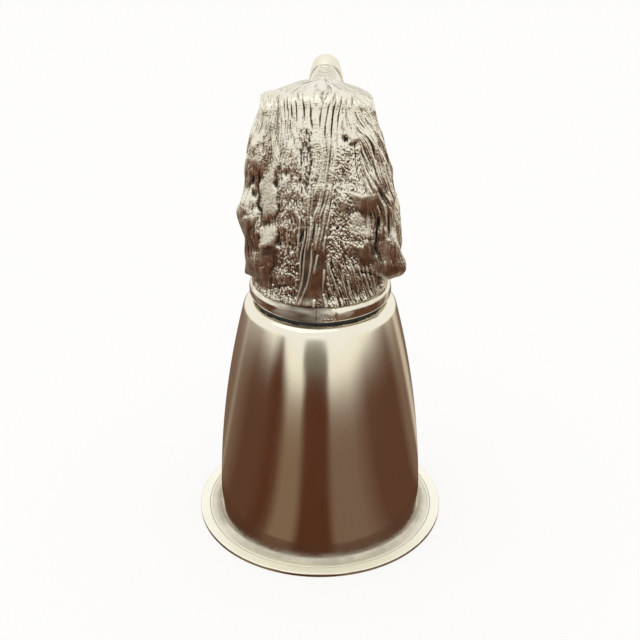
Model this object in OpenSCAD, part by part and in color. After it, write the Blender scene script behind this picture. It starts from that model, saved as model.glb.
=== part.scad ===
// Stirrup cup that stands mouth down, with a cast spaniel head on its closed end.
// Millimetres, +Z up. The origin is the middle of the mouth, on the table.
// The nose points along +Y, so the back of the head faces -Y.

/* [Bowl] */
// Outer radius of the bowl wall at its foot
bowl_foot_r = 28.4; // [26:0.2:30]
// Outer radius that the wall arc reaches at the closed end
bowl_end_r = 19.8; // [19.4:0.1:22]
// Height of the closed end above the table
bowl_h = 66; // [60:0.2:75]
// Thickness of the spun sheet
sheet_t = 0.9; // [0.7:0.1:1.4]
// Radius on which the wall flares just above the flange
foot_flare_r = 20; // [14:1:26]
// Lean of the flare where it meets the corner, in degrees
foot_flare_angle = 12; // [6:1:16]
// Outside radius of the corner between flare and flange
foot_fillet_r = 1.5; // [1:0.1:2]
// Flat width of the mouth flange beyond that corner
flange_w = 4.3; // [3.9:0.05:5]
// Outside radius of the shoulder corner
shoulder_r = 3; // [2:0.1:4]

/* [Rim band] */
// Width of the flat border that is soldered on the flange
band_w = 3.4; // [2.6:0.1:3.5]
// Thickness of the border
band_t = 0.3; // [0.25:0.05:0.8]
// Width of the reed along the inner edge of the border
reed_w = 0.5; // [0.3:0.1:0.8]
// Width of the line that sets off the reed
line_w = 0.3; // [0.2:0.05:0.4]
// Radius of the rounded outer edge of the border
band_edge_r = 0.2; // [0.1:0.05:0.25]

/* [Neck seat and collar] */
// Radius of the neck where it stands on its seat
neck_r = 17.3; // [16.6:0.1:18]
// Height of the seat ring, which shows as the dark gap below the collar
seat_h = 1; // [0.8:0.1:2]
// How far the seat ring stays inside the neck
seat_inset = 0.4; // [0.2:0.1:1]
// Height of the spigot that locates the neck
spigot_h = 3.2; // [2:0.1:5]
// Wall of the spigot
spigot_t = 2.4; // [1.5:0.1:4]
// Half the height of the collar strap
collar_h = 2; // [1.6:0.1:2.4]
// How far the rounded strap stands out from the neck
collar_out = 1.5; // [1:0.1:1.6]
// Arc of the lapped collar joint, in degrees
lap_angle = 15; // [10:1:24]
// Where the joint lies, in degrees from the middle of the nape
lap_place_angle = 8; // [-30:1:30]
// How far the lapped joint stands proud of the strap
lap_proud = 0.3; // [0.1:0.05:0.5]
// Clearance between pieces that fit round each other
fit_gap = 0.1; // [0.05:0.05:0.2]

/* [Head] */
// Height of the head castings, from the seat to the top of the crown
head_h = 57; // [53:0.2:61]
// Half the width of the skull
skull_w = 13.6; // [12.8:0.1:14.4]
// Reach of the crown behind the axis
crown_back = 15; // [13.5:0.1:16]
// Size of the rounded corner where crown and nape meet
crown_corner = 4.5; // [3.5:0.1:6]
// How far the nape swells behind the line from collar to crown
nape_swell = 2; // [0.5:0.1:3]
// Reach of the throat in front of the axis
throat_reach = 13.6; // [12.5:0.1:15]
// Height of the throat below the crown
throat_drop = 26; // [24:0.2:28]
// Wall of the hollow castings
cast_t = 2.2; // [1.8:0.1:2.6]
// Height of the wavy locks
lock_h = 0.5; // [0.2:0.05:0.7]

/* [Face] */
// Reach of the stop between brow and muzzle
stop_reach = 13.5; // [12.5:0.1:14.5]
// Depth of the stop below the crown
stop_drop = 5; // [4:0.1:6]
// Reach of the nose in front of the axis
nose_reach = 34; // [31:0.5:34.5]
// Half the width of the muzzle across the lips
muzzle_w = 6.8; // [6.6:0.1:8]
// Height of the lips' front above the throat
chin_rise = 12; // [10:0.2:13]
// Half the width of the nose
nose_w = 4; // [3.8:0.1:5]
// How far each eye stands out
eye_h = 1.3; // [0.8:0.1:1.6]

/* [Ears] */
// Thickness of an ear over its hanging part
ear_t = 3.2; // [2.4:0.1:4]
// Thickness of an ear along its edges
ear_edge_t = 0.9; // [0.6:0.1:1.2]
// Gap that the solder fills between an ear and the head
ear_gap = 0.25; // [0.2:0.05:0.4]

/* [Hidden] */

polished = "#cfc8b6";
antique = "#8f8672";
$fn = 96;

function mix(a, b, f) = a + (b - a) * f;
function clamp01(x) = min(1, max(0, x));
function smooth(a, b, x) = let (f = clamp01((x - a) / (b - a))) f * f * (3 - 2 * f);
function bump(x) = exp(-x * x);
function arc(centre, r, from, to, steps, skip = 0) =
    [for (i = [skip : steps - skip]) let (a = mix(from, to, i / steps)) centre + r * [cos(a), sin(a)]];
function reversed(list) = [for (i = [len(list) - 1 : -1 : 0]) list[i]];
function key_at(keys, i) = keys[max(0, min(len(keys) - 1, i))];
// Smooth curve through a list of keys, one unit of t from key to key
function curve(keys, t) =
    let (i = min(floor(t), len(keys) - 2), f = t - i,
         a = key_at(keys, i - 1), b = key_at(keys, i), c = key_at(keys, i + 1), d = key_at(keys, i + 2))
    b + f / 2 * (c - a + f * (2 * a - 5 * b + 4 * c - d + f * (3 * (b - c) + d - a)));

// Skin over rings of points that all run the same way round. A looped stack is closed on itself.
module ring_stack(rings, looped = false) {
    n = len(rings[0]);
    total = len(rings) * n;
    top = total - n;
    sides = [for (j = [0 : len(rings) - (looped ? 1 : 2)], i = [0 : n - 1])
        let (a = j * n + i, b = j * n + (i + 1) % n, c = (a + n) % total, d = (b + n) % total)
        each [[a, c, b], [b, c, d]]];
    ends = [for (i = [0 : n / 2 - 2])
        let (j = n - 1 - i, k = top + i, m = top + j)
        each concat([[i, i + 1, j], [k, m, k + 1]], i < n / 2 - 1 ? [[i + 1, j - 1, j], [k + 1, m, m - 1]] : [])];
    polyhedron([for (ring = rings) each ring], looped ? sides : concat(sides, ends));
}

// Bowl: a spun sheet of one thickness, wall on a single arc that ends in a flared foot
wall_drop = bowl_foot_r - bowl_end_r;
wall_arc_r = (wall_drop * wall_drop + bowl_h * bowl_h) / (2 * wall_drop);
wall_centre = [bowl_foot_r - wall_arc_r, 0];
flare_run = foot_flare_r - foot_fillet_r;
flare_z = sheet_t + foot_fillet_r + flare_run * sin(foot_flare_angle);
foot_a = asin(flare_z / (wall_arc_r + foot_flare_r));
flare_centre = [wall_centre.x + (wall_arc_r + foot_flare_r) * cos(foot_a), flare_z];
foot_centre = flare_centre - flare_run * [cos(foot_flare_angle), sin(foot_flare_angle)];
shoulder_rise = bowl_h - shoulder_r;
shoulder_run = sqrt(pow(wall_arc_r - shoulder_r, 2) - pow(shoulder_rise, 2));
shoulder_a = atan2(shoulder_rise, shoulder_run);
shoulder_centre = wall_centre + [shoulder_run, shoulder_rise];
rim_r = foot_centre.x + flange_w;
function sheet_side(inset) = concat(
    arc(foot_centre, foot_fillet_r + inset, 270, 180 + foot_flare_angle, 8),
    arc(flare_centre, foot_flare_r + inset, 180 + foot_flare_angle, 180 + foot_a, 4, 1),
    arc(wall_centre, wall_arc_r - inset, foot_a, shoulder_a, 24),
    arc(shoulder_centre, shoulder_r - inset, shoulder_a, 90, 8));

module bowl() {
    color(polished)
        rotate_extrude()
            polygon(concat([[rim_r, 0], [rim_r, sheet_t]], sheet_side(0),
                           [[0, bowl_h], [0, bowl_h - sheet_t]], reversed(sheet_side(sheet_t))));
}

band_top = sheet_t + band_t;
band_r = rim_r - band_w;
module rim_band() {
    color(polished)
        rotate_extrude()
            polygon(concat([[band_r, sheet_t], [rim_r, sheet_t]],
                           arc([rim_r - band_edge_r, band_top - band_edge_r], band_edge_r, 0, 90, 5),
                           [[band_r + reed_w + line_w, band_top],
                            [band_r + reed_w + line_w / 2, band_top - line_w / 2],
                            [band_r + reed_w, band_top], [band_r, band_top]]));
}

// Neck seat: stepped ring soldered on the closed end, with a spigot up the hollow neck
seat_z = bowl_h + seat_h;
spigot_r = neck_r - cast_t - fit_gap;
module neck_seat() {
    color(antique)
        rotate_extrude()
            polygon([[spigot_r - spigot_t, bowl_h], [neck_r - seat_inset, bowl_h], [neck_r - seat_inset, seat_z],
                     [spigot_r, seat_z], [spigot_r, seat_z + spigot_h], [spigot_r - spigot_t, seat_z + spigot_h]]);
}

collar_z = seat_z + collar_h + fit_gap;
// The strap's section is a segment of a circle, flat against the neck
module strap(proud, from, sweep) {
    out = collar_out + proud;
    half = collar_h + proud / 2;
    r = (half * half + out * out) / (2 * out);
    rotate([0, 0, from])
        rotate_extrude(angle = sweep)
            translate([neck_r + fit_gap, collar_z])
                intersection() {
                    translate([out - r, 0])
                        circle(r, $fn = 48);
                    translate([0, -r])
                        square(2 * r);
                }
}

lap_from = lap_place_angle - lap_angle / 2 - 90;
module collar() {
    color(polished)
        strap(0, lap_from + lap_angle, 360 - lap_angle);
}

module collar_lap() {
    color(antique)
        strap(lap_proud, lap_from, lap_angle);
}

// Head: sections that turn from level at the neck to upright at the nose. Each key holds the back
// or top point of a section, its throat or chin point, both as [reach, height], its half width,
// where it is widest, how square it is and how much its top narrows.
hair_z = collar_z + collar_h + fit_gap;
crown_z = seat_z + head_h;
throat_z = crown_z - throat_drop;
function neck_key(f) =
    [-mix(neck_r, crown_back, f) - nape_swell * sin(180 * f), mix(hair_z, crown_z, f),
     mix(neck_r, throat_reach, f), mix(hair_z, throat_z, f), mix(neck_r, skull_w, f), 0.5, mix(2, 2.6, f), 0];
function crown_key(reach, drop, front, rise, w, square, narrow = 0) =
    [reach, crown_z - drop, throat_reach * front, throat_z + chin_rise * rise, skull_w * w, 0.5, square, narrow];
function face_key(reach, drop, front, rise, w, widest, square, narrow) =
    [mix(stop_reach, nose_reach, reach), crown_z - stop_drop * drop, mix(throat_reach, nose_reach, front),
     throat_z + chin_rise * rise, w, widest, square, narrow];
head_keys = [
    [-neck_r, seat_z, neck_r, seat_z, neck_r, 0.5, 2, 0],
    neck_key(0), neck_key(0.16), neck_key(0.36), neck_key(0.57), neck_key(0.77),
    crown_key(-crown_back, crown_corner, 1, 0, 1.01, 2.6),
    crown_key(0.3 * crown_corner - crown_back, 0.25 * crown_corner, 1.05, 0.08, 1, 2.8),
    crown_key(1.4 * crown_corner - crown_back, 0, 1.11, 0.15, 1, 2.8),
    crown_key(-0.15 * stop_reach, 0.04 * stop_drop, 1.19, 0.22, 1, 2.6),
    crown_key(0.33 * stop_reach, 0.2 * stop_drop, 1.29, 0.27, 0.95, 2.3, 0.05),
    crown_key(0.7 * stop_reach, 0.5 * stop_drop, 1.41, 0.3, 0.8, 2, 0.16),
    face_key(0, 0.95, 0.38, 0.33, 1.24 * muzzle_w, 0.5, 2.2, 0.26),
    face_key(0.185, 1.06, 0.49, 0.35, 1.06 * muzzle_w, 0.54, 2.3, 0.36),
    face_key(0.375, 0.92, 0.62, 0.4, muzzle_w, 0.58, 2.4, 0.42),
    face_key(0.54, 0.78, 0.725, 0.5, 0.97 * muzzle_w, 0.6, 2.5, 0.44),
    face_key(0.67, 0.63, 0.805, 0.63, 0.92 * muzzle_w, 0.6, 2.5, 0.42),
    face_key(0.77, 0.42, 0.873, 0.72, 0.84 * muzzle_w, 0.58, 2.6, 0.34),
    face_key(0.885, 0.3, 0.92, 0.85, 1.22 * nose_w, 0.54, 2.6, 0.22),
    face_key(0.97, 0.56, 0.956, 1.05, nose_w, 0.46, 2.5, 0.08),
    face_key(1, 0.92, 0.985, 1.33, 0.55 * nose_w, 0.45, 2.3, 0)];
seam = 7;
tip = len(head_keys) - 1;

// Swellings and hollows of the face, as [section, angle from the top, reach in sections,
// reach in degrees, height], the same on both sides
face_forms = [
    [11.4, 64, 0.8, 17, -0.2 * stop_drop],
    [11.4, 64, 0.42, 9.5, eye_h + 0.2 * stop_drop],
    [10.7, 50, 0.5, 15, 0.08 * skull_w],
    [12, 0, 1.2, 12, -0.04 * skull_w],
    [8.6, 27, 1.1, 11, -0.04 * skull_w],
    [8.6, 54, 1.1, 11, 0.07 * skull_w],
    [10.8, 106, 1, 24, 0.06 * skull_w],
    [14.6, 108, 1.8, 18, 0.14 * muzzle_w],
    [13.4, 132, 1.2, 7, -0.14 * muzzle_w],
    [15.8, 137, 1.2, 7, -0.14 * muzzle_w],
    [17.8, 156, 0.8, 13, -0.12 * muzzle_w],
    [18.9, 112, 0.7, 9, -0.15 * nose_w],
    [19.1, 66, 0.4, 13, -0.16 * nose_w]];
function face_form(s, a, i = 0) = i == len(face_forms) ? 0 :
    let (f = face_forms[i])
    f[4] * bump(norm([(s - f[0]) / f[2], (abs(a) - f[1]) / f[3]])) + face_form(s, a, i + 1);
// Locks run along the head, and the mane sways to one side above the collar
function lock(s, a) =
    let (sway = 14 * sin(70 * s) + 10 * smooth(4, 1, s))
    lock_h * smooth(1, 1.6, s) * smooth(12, 8, s) * smooth(60, 36, abs(a)) * cos(20 * (a + sway));
function head_form(s, a) = lock(s, a) + face_form(s, a);

function head_point(s, a, out) =
    let (key = curve(head_keys, s), back = [key[0], key[1]], front = [key[2], key[3]],
         mid = mix(back, front, key[5]), end = cos(a) > 0 ? back : front, reach = norm(end - mid),
         w = key[4], across = w * sign(sin(a)) * pow(abs(sin(a)), 2 / key[6]) * (1 - key[7] * max(0, cos(a))),
         along = reach * pow(abs(cos(a)), 2 / key[6]),
         away = [across / (w * w), along / (reach * reach)],
         p = [across, along] + out * away / norm(away), place = mid + (end - mid) / reach * p.y)
    [p.x, place.x, place.y];
// Angles round a section, closest together at the back
sides = 84;
function ring_angle(i) = let (a = 360 * (i + 0.5) / sides - 180) a - 20 * sin(a);
function skin_ring(s) = [for (i = [0 : sides - 1]) let (a = ring_angle(i)) head_point(s, a, head_form(s, a))];
function hollow_ring(s) = [for (i = [0 : sides - 1]) head_point(s, ring_angle(i), -cast_t)];

module nape_casting() {
    steps = 15;
    skin = concat([skin_ring(0)], [for (i = [0 : steps]) skin_ring(mix(1, seam, i / steps))]);
    hollow = [for (s = [seam, 6, 4, 2, 0]) hollow_ring(s)];
    color(antique)
        ring_stack(concat(skin, hollow), looped = true);
}

module face_casting() {
    hollow = [for (s = [13, 12, 10, 8, seam]) hollow_ring(s)];
    skin = concat([for (i = [0 : 8]) skin_ring(mix(seam, 10, i / 8))],
                  [for (i = [1 : 10]) skin_ring(mix(10, 12, i / 10))],
                  [for (i = [1 : 16]) skin_ring(mix(12, tip, i / 16))]);
    color(antique)
        ring_stack(concat(hollow, skin));
}

// Ears: wavy flaps laid on the side of the head, from the tip to the root. Each key is
// [section of the head, rear edge and front edge in degrees, share of the thickness].
left_keys = [
    [1.25, 80, 100, 0.3],
    [1.5, 62, 112, 0.42],
    [2, 50, 122, 0.42],
    [3, 46, 126, 0.6],
    [4, 46, 124, 0.72],
    [5, 42, 116, 0.72],
    [6, 32, 100, 0.6],
    [7, 26, 78, 0.48],
    [7.6, 28, 66, 0.34],
    [8.2, 36, 56, 0.1]];
right_keys = [
    [1.25, 80, 100, 0.4],
    [1.5, 62, 112, 0.75],
    [2, 50, 122, 0.95],
    [3, 46, 126, 1],
    [4, 46, 124, 1],
    [5, 42, 104, 0.6],
    [6, 24, 72, 0.34],
    [7, 18, 60, 0.28],
    [7.6, 22, 54, 0.2],
    [8.2, 32, 48, 0.1]];
// Curls, as [section, degrees from the nape, share of the thickness, reach in sections, reach in degrees]
left_curls = [[3.55, 84, 0.62, 0.5, 14], [4.6, 50, 0.38, 0.5, 13], [2.9, 54, 0.4, 0.4, 13], [1.9, 56, 0.28, 0.35, 13]];
right_curls = [[1.8, 82, 0.44, 0.5, 15], [4, 52, 0.4, 0.5, 13], [2.8, 54, 0.38, 0.4, 13], [6.2, 42, 0.28, 0.6, 16]];

function ear_curl(curls, s, a, i = 0) = i == len(curls) ? 0 :
    let (c = curls[i])
    ear_t * c[2] * bump(norm([(s - c[0]) / c[3], (a - c[1]) / c[4]])) + ear_curl(curls, s, a, i + 1);
function ear_rise(curls, key, w, a) =
    let (belly = pow(1 - pow(abs(2 * w - 1), 3), 0.6))
    ear_edge_t + belly * (ear_t * key[3] + ear_curl(curls, key[0], a)
                          + lock_h * key[3] * cos(360 * (3.2 * w + 0.35 * sin(140 * key[0]))));
function ear_ring(curls, key, steps) =
    let (at = [for (i = [0 : steps]) mix(key[1], key[2], i / steps)],
         foot = [for (a = at) head_form(key[0], a) + ear_gap])
    [for (i = [0 : 2 * steps + 1])
        let (k = i <= steps ? i : 2 * steps + 1 - i,
             rise = i <= steps ? ear_rise(curls, key, k / steps, at[k]) : 0)
        head_point(key[0], at[k], foot[k] + rise)];

module ear(keys, curls) {
    ring_stack([for (i = [0 : 4 * (len(keys) - 1)]) ear_ring(curls, curve(keys, i / 4), 12)]);
}

module left_ear() {
    color(antique)
        mirror([1, 0, 0])
            ear(left_keys, left_curls);
}

module right_ear() {
    color(antique)
        ear(right_keys, right_curls);
}

bowl();
rim_band();
neck_seat();
collar();
collar_lap();
nape_casting();
face_casting();
left_ear();
right_ear();
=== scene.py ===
"""Looks of the stirrup cup: satin bowl, collar and a finely haired cast dog's head."""
import math

import bpy
import numpy as np
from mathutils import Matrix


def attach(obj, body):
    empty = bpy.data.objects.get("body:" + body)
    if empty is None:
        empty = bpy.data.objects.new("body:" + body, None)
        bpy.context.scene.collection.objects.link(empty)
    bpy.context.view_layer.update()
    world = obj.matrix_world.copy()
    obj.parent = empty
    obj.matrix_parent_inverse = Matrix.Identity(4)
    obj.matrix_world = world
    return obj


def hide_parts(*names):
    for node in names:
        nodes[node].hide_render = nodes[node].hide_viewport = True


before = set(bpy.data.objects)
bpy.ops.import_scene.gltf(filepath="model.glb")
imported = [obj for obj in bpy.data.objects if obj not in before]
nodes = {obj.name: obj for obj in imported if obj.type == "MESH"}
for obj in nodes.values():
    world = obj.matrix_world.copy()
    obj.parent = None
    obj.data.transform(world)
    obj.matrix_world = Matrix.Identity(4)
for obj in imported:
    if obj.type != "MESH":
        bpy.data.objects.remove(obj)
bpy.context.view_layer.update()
rng = np.random.default_rng(7)

MM = 0.001

# Sizes in millimetres, the same as in the solids
BOWL_FOOT_R, BOWL_END_R, BOWL_H, SHEET_T = 28.4, 19.8, 66.0, 0.9
FLARE_R, FLARE_ANGLE, FOOT_FILLET_R = 20.0, 12.0, 1.5
FLANGE_W, SHOULDER_R, SEAT_H, COLLAR_H, COLLAR_OUT, FIT_GAP = 4.3, 3.0, 1.0, 2.0, 1.5, 0.1
BAND_W, BAND_T, REED_W, LINE_W, BAND_EDGE_R = 3.4, 0.3, 0.5, 0.3, 0.2
LAP_ANGLE, LAP_PLACE, LAP_PROUD = 15.0, 8.0, 0.3
NECK_R, HEAD_H, SKULL_W, CROWN_BACK, CROWN_CORNER = 17.3, 57.0, 13.6, 15.0, 4.5
NAPE_SWELL, THROAT_REACH, THROAT_DROP, LOCK_H = 2.0, 13.6, 26.0, 0.5
STOP_REACH, STOP_DROP, NOSE_REACH, MUZZLE_W, CHIN_RISE, NOSE_W = 13.5, 5.0, 34.0, 6.8, 12.0, 4.0
EAR_T, EAR_EDGE_T, EAR_GAP = 3.2, 0.9, 0.25
SEAT_Z = BOWL_H + SEAT_H
COLLAR_Z = SEAT_Z + COLLAR_H + FIT_GAP
HAIR_Z = COLLAR_Z + COLLAR_H + FIT_GAP
CROWN_Z = SEAT_Z + HEAD_H
THROAT_Z = CROWN_Z - THROAT_DROP


def mix(a, b, f):
    return a + (b - a) * f


def smooth(a, b, x):
    f = np.clip((x - a) / (b - a), 0, 1)
    return f * f * (3 - 2 * f)


def bump(x, y=0.0):
    return np.exp(-(x * x + y * y))


def curve(keys, t):
    """Smooth curve through a table of keys, one unit of t from key to key."""
    keys = np.asarray(keys, float)
    t = np.asarray(t, float)
    i = np.clip(np.floor(t).astype(int), 0, len(keys) - 2)
    f = (t - i)[..., None]
    a, b = keys[np.maximum(i - 1, 0)], keys[i]
    c, d = keys[i + 1], keys[np.minimum(i + 2, len(keys) - 1)]
    return b + f / 2 * (c - a + f * (2 * a - 5 * b + 4 * c - d + f * (3 * (b - c) + d - a)))


# Noise over arrays of points

TABLE = 4096
lattice_value = rng.random(TABLE)
lattice_grad = rng.normal(size=(TABLE, 3))
lattice_grad /= np.linalg.norm(lattice_grad, axis=1)[:, None]
lattice_order = rng.permutation(TABLE)


def lattice(ix, iy, iz):
    k = lattice_order[ix % TABLE]
    k = lattice_order[(k + iy) % TABLE]
    return lattice_order[(k + iz) % TABLE]


def noise(x, y, z):
    """Gradient noise from about -1 to 1."""
    x, y, z = np.broadcast_arrays(np.asarray(x, float), y, z)
    ix, iy, iz = (np.floor(v).astype(np.int64) for v in (x, y, z))
    fx, fy, fz = x - ix, y - iy, z - iz
    ux, uy, uz = (f * f * f * (f * (6 * f - 15) + 10) for f in (fx, fy, fz))
    total = 0.0
    for dx in (0, 1):
        for dy in (0, 1):
            for dz in (0, 1):
                g = lattice_grad[lattice(ix + dx, iy + dy, iz + dz)]
                dot = g[..., 0] * (fx - dx) + g[..., 1] * (fy - dy) + g[..., 2] * (fz - dz)
                total = total + dot * (ux if dx else 1 - ux) * (uy if dy else 1 - uy) * (uz if dz else 1 - uz)
    return total * 1.6


def grains(x, y, seed):
    """Distance to the nearest of scattered points, one point to a cell."""
    x, y = np.broadcast_arrays(x, y)
    ix, iy = np.floor(x).astype(np.int64), np.floor(y).astype(np.int64)
    near = np.full(x.shape, 9.0)
    for dx in (-1, 0, 1):
        for dy in (-1, 0, 1):
            k = lattice(ix + dx, iy + dy, seed)
            px = ix + dx + 0.1 + 0.8 * lattice_value[k]
            py = iy + dy + 0.1 + 0.8 * lattice_value[(k * 7 + 11) % TABLE]
            near = np.minimum(near, np.hypot(x - px, y - py))
    return near


def strands(across, along, pitch, sway, seed):
    """Rounded strands along a surface, 1 on their backs. The grooves between them differ in depth."""
    lane = (across / pitch + sway * noise(across / 5, along / 8, seed + 0.5)
            + 0.35 * sway * noise(across / 1.8, along / 4, seed + 5.5))
    level = lattice_value[(np.floor(lane).astype(np.int64) * 53 + seed * 17) % TABLE]
    groove = np.floor(lane + 0.5)
    depth = np.clip(0.62 + 0.75 * noise(groove * 3.73, along / 4.5, seed + 9.5), 0.08, 1.1)
    return 1 - depth * (1 - np.abs(np.sin(math.pi * lane)) ** 0.7) - 0.25 * level


def pits(x, y, size, seed):
    """Fine cast skin, about 0 on average."""
    coarse = noise(x / size, y / size, seed + 0.3)
    fine = noise(2.1 * x / size, 2.1 * y / size, seed + 4.3)
    return 0.6 * coarse + 0.4 * fine


def lumps(x, y, table):
    """Sum of rounded swellings, each as [x, y, reach in x, reach in y, height]."""
    return sum(h * bump((x - a) / rx, (y - b) / ry) for a, b, rx, ry, h in table)


# The head's sections, the same as in the solids. Each is [y and z of its top, y and z of its bottom,
# half width, place of the width, squareness, narrowing towards the top].

def neck_key(f):
    back = mix(NECK_R, CROWN_BACK, f) + NAPE_SWELL * math.sin(math.pi * f)
    return [-back, mix(HAIR_Z, CROWN_Z, f), mix(NECK_R, THROAT_REACH, f), mix(HAIR_Z, THROAT_Z, f),
            mix(NECK_R, SKULL_W, f), 0.5, mix(2, 2.6, f), 0]


def crown_key(reach, drop, front, rise, w, square, narrow=0.0):
    return [reach, CROWN_Z - drop, THROAT_REACH * front, THROAT_Z + CHIN_RISE * rise,
            SKULL_W * w, 0.5, square, narrow]


def face_key(reach, drop, front, rise, w, widest, square, narrow):
    return [mix(STOP_REACH, NOSE_REACH, reach), CROWN_Z - STOP_DROP * drop,
            mix(THROAT_REACH, NOSE_REACH, front), THROAT_Z + CHIN_RISE * rise, w, widest, square, narrow]


HEAD_KEYS = np.array([
    [-NECK_R, SEAT_Z, NECK_R, SEAT_Z, NECK_R, 0.5, 2, 0],
    neck_key(0), neck_key(0.16), neck_key(0.36), neck_key(0.57), neck_key(0.77),
    crown_key(-CROWN_BACK, CROWN_CORNER, 1, 0, 1.01, 2.6),
    crown_key(0.3 * CROWN_CORNER - CROWN_BACK, 0.25 * CROWN_CORNER, 1.05, 0.08, 1, 2.8),
    crown_key(1.4 * CROWN_CORNER - CROWN_BACK, 0, 1.11, 0.15, 1, 2.8),
    crown_key(-0.15 * STOP_REACH, 0.04 * STOP_DROP, 1.19, 0.22, 1, 2.6),
    crown_key(0.33 * STOP_REACH, 0.2 * STOP_DROP, 1.29, 0.27, 0.95, 2.3, 0.05),
    crown_key(0.7 * STOP_REACH, 0.5 * STOP_DROP, 1.41, 0.3, 0.8, 2, 0.16),
    face_key(0, 0.95, 0.38, 0.33, 1.24 * MUZZLE_W, 0.5, 2.2, 0.26),
    face_key(0.185, 1.06, 0.49, 0.35, 1.06 * MUZZLE_W, 0.54, 2.3, 0.36),
    face_key(0.375, 0.92, 0.62, 0.4, MUZZLE_W, 0.58, 2.4, 0.42),
    face_key(0.54, 0.78, 0.725, 0.5, 0.97 * MUZZLE_W, 0.6, 2.5, 0.44),
    face_key(0.67, 0.63, 0.805, 0.63, 0.92 * MUZZLE_W, 0.6, 2.5, 0.42),
    face_key(0.77, 0.42, 0.873, 0.72, 0.84 * MUZZLE_W, 0.58, 2.6, 0.34),
    face_key(0.885, 0.3, 0.92, 0.85, 1.22 * NOSE_W, 0.54, 2.6, 0.22),
    face_key(0.97, 0.56, 0.956, 1.05, NOSE_W, 0.46, 2.5, 0.08),
    face_key(1, 0.92, 0.985, 1.33, 0.55 * NOSE_W, 0.45, 2.3, 0)])
SEAM = 7
TIP = len(HEAD_KEYS) - 1
# Each skin passes the seam by this share of a section, and dips under the other one there
SEAM_LAP, SEAM_DIP = 0.12, 0.3
# Depth of the hollow below the sections
HOLLOW_DEPTH = 2.0
# Swellings of the head, as [section, angle from the top, reach in sections, reach in degrees, height]
FACE_FORMS = [
    (11.4, 64, 0.8, 17, -0.2 * STOP_DROP),
    (10.7, 50, 0.5, 15, 0.08 * SKULL_W),
    (12, 0, 1.2, 12, -0.04 * SKULL_W),
    (8.6, 27, 1.1, 11, -0.04 * SKULL_W),
    (8.6, 54, 1.1, 11, 0.07 * SKULL_W),
    (10.8, 106, 1, 24, 0.06 * SKULL_W),
    (14.6, 108, 1.8, 18, 0.14 * MUZZLE_W)]


def head_form(s, a):
    return lumps(s, np.abs(a), FACE_FORMS)


def head_point(s, a, out):
    """Points in millimetres on section s at angle a from its top, moved out along the section's normal."""
    s, a, out = np.broadcast_arrays(np.asarray(s, float), a, out)
    key = curve(HEAD_KEYS, s)
    sin, cos = np.sin(np.radians(a)), np.cos(np.radians(a))
    back, front = key[..., 0:2], key[..., 2:4]
    w, widest, square, narrow = np.moveaxis(key[..., 4:8], -1, 0)
    mid = back + (front - back) * widest[..., None]
    end = np.where((cos > 0)[..., None], back, front) - mid
    reach = np.linalg.norm(end, axis=-1)
    across = w * np.sign(sin) * np.abs(sin) ** (2 / square) * (1 - narrow * np.maximum(0, cos))
    along = reach * np.abs(cos) ** (2 / square)
    away = np.stack([across / w ** 2, along / reach ** 2], -1)
    away /= np.linalg.norm(away, axis=-1)[..., None]
    across, along = across + out * away[..., 0], along + out * away[..., 1]
    place = mid + end / reach[..., None] * along[..., None]
    return np.stack([across, place[..., 0], place[..., 1]], -1)


# Meshes from grids of points

def normals(grid, looped):
    dc = np.roll(grid, -1, 1) - np.roll(grid, 1, 1) if looped else np.gradient(grid, axis=1)
    n = np.cross(dc, np.gradient(grid, axis=0))
    return n / np.maximum(np.linalg.norm(n, axis=-1), 1e-12)[..., None]


def soften(field, cells, looped):
    """Running mean over a grid, twice along rows and columns."""
    for axis, mode in ((0, "edge"), (1, "wrap" if looped else "edge")) * 2:
        pad = [(0, 0), (0, 0)]
        pad[axis] = (cells + 1, cells)
        total = np.cumsum(np.pad(field, pad, mode=mode), axis)
        low = np.split(total, [field.shape[axis]], axis)[0]
        high = np.take(total, range(2 * cells + 1, total.shape[axis]), axis)
        field = (high - low) / (2 * cells + 1)
    return field


WEAR_SCALE = 0.45


def wear_of(height, looped, cells):
    """How far each point stands out from its surroundings: 0 in crevices, 1 on ridges."""
    return np.clip(0.5 + (height - soften(height, cells, looped)) / WEAR_SCALE, 0, 1)


def grid_object(name, grid, wear_and_painted_light, looped_rows=False):
    """Closed mesh over rings of points. The values kept on the vertices drive the patina, and also painted
    shade and painted light.
    """
    rows, cols = grid.shape[:2]
    index = np.arange(rows * cols).reshape(rows, cols)
    a = index if looped_rows else index[:-1]
    b = np.roll(index, -1, 0) if looped_rows else index[1:]
    faces = np.stack([a, np.roll(a, -1, 1), np.roll(b, -1, 1), b], -1).reshape(-1, 4).tolist()
    if not looped_rows:
        faces += [index[0][::-1].tolist(), index[-1].tolist()]
    mesh = bpy.data.meshes.new(name)
    mesh.from_pydata((grid.reshape(-1, 3) * MM).tolist(), [], faces)
    mesh.polygons.foreach_set("use_smooth", np.ones(len(mesh.polygons), bool))
    values = wear_and_painted_light.reshape(-1).astype(np.float32)
    mesh.attributes.new("wear_and_painted_light", "FLOAT", "POINT").data.foreach_set("value", values)
    mesh.update()
    obj = bpy.data.objects.new(name, mesh)
    bpy.context.collection.objects.link(obj)
    return obj


def steps(*runs):
    """Joined runs of evenly spaced values, each as [from, to, count]."""
    return np.concatenate([np.linspace(a, b, count, endpoint=False) for a, b, count in runs])


def arc_length(grid, zero):
    """Distance in millimetres along each row of a grid from column zero."""
    step = np.linalg.norm(np.diff(grid, axis=1), axis=-1)
    run = np.concatenate([np.zeros((len(grid), 1)), np.cumsum(step, 1)], 1)
    return run - run[:, zero:zero + 1]


# Hair of the back and ears, laid out by the angle round the head and by a height that grows towards the front

# Cell of the stroke maps, rise of the height per millimetre to the front, and map millimetres to a degree
CELL, LEAN, SPREAD = 0.1, 0.504, 0.3
# Shares of wear: painted light on the pale clump faces, painted shade on the smoothed undersides below the
# lock crests, and a stain
PALE_LIGHT, CALM_SHADE, STAIN_WEAR = 0.27, 0.12, 0.14
# Place of the stained hair at the upper left
STAIN_X, STAIN_Z = -11.4, 118.6
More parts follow.
